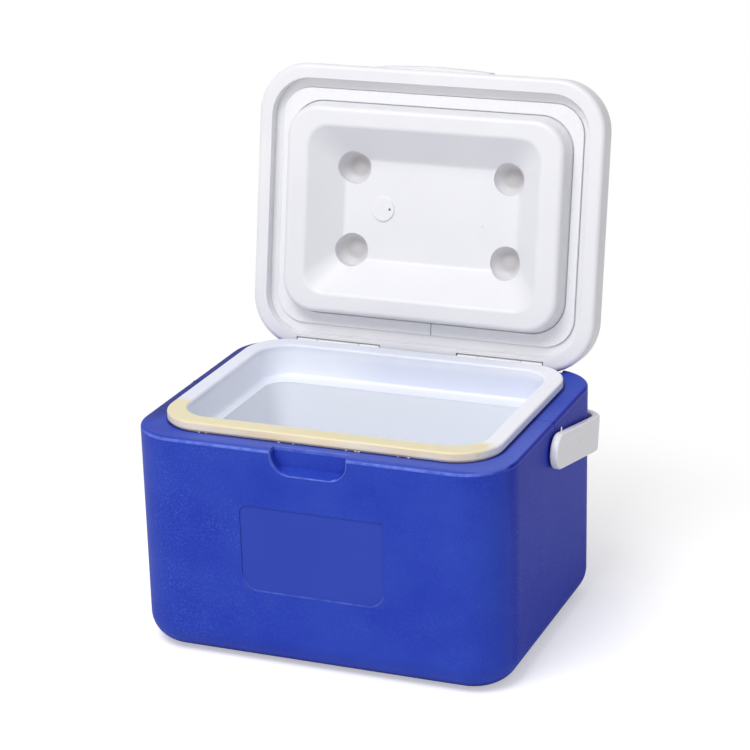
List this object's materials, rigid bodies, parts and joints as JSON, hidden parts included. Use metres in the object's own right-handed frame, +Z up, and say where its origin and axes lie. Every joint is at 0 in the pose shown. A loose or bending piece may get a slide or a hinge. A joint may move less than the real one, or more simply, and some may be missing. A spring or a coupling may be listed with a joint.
{
  "type": "vaccine carrier",
  "caption": "Insulated vaccine carrier: a rounded foam-filled box with a deep white liner, a hinged plug lid that opens past upright and a bail handle that folds down behind.",
  "frame": {"origin": "centre of the body's footprint on the floor", "axes": "+Z up, -Y is the front with the finger recess, the hinges are at the rear (+Y), +X to the right seen from the front"},
  "size_m": [0.399, 0.3711, 0.5147],
  "materials": {
    "body_blue": "fine-grained moulded polyethylene",
    "lid_white": "smooth moulded polyethylene",
    "liner_white": "smooth moulded polypropylene",
    "foam": "rigid polyurethane foam",
    "seal_white": "soft elastomer strip",
    "handle_white": "satin moulded polypropylene",
    "cap_white": "moulded polyethylene cap",
    "steel": "stainless steel",
    "bush_natural": "moulded acetal",
    "hinge_white": "moulded polypropylene"
  },
  "bodies": {
    "body": {"body_shell": "body_blue", "body_foam": "foam", "base_fill_cap": "body_blue", "liner": "liner_white", "hinge_bracket_left": "hinge_white", "hinge_bracket_right": "hinge_white", "bracket_screws_left": "steel", "bracket_screws_right": "steel", "hinge_pin_left": "steel", "hinge_pin_right": "steel", "pivot_bush_left": "bush_natural", "pivot_bush_right": "bush_natural"},
    "lid": {"lid_shell": "lid_white", "lid_liner": "lid_white", "lid_foam": "foam", "lid_seal": "seal_white", "lid_fill_cap": "cap_white", "hinge_knuckle_left": "hinge_white", "hinge_knuckle_right": "hinge_white", "knuckle_screws_left": "steel", "knuckle_screws_right": "steel"},
    "handle": {"carry_handle": "handle_white", "handle_pin_left": "steel", "handle_pin_right": "steel", "pin_clip_left": "steel", "pin_clip_right": "steel"}
  },
  "joints": [
    {"name": "lid_hinge", "type": "hinge", "parent": "body", "child": "lid", "pos_m": [0, 0.1401, 0.2297], "axis": [1, 0, 0], "range_deg": [0, 99.85]},
    {"name": "handle_pivot", "type": "hinge", "parent": "body", "child": "handle", "pos_m": [0, 0, 0.1973], "axis": [1, 0, 0], "range_deg": [0, 12]}
  ]
}
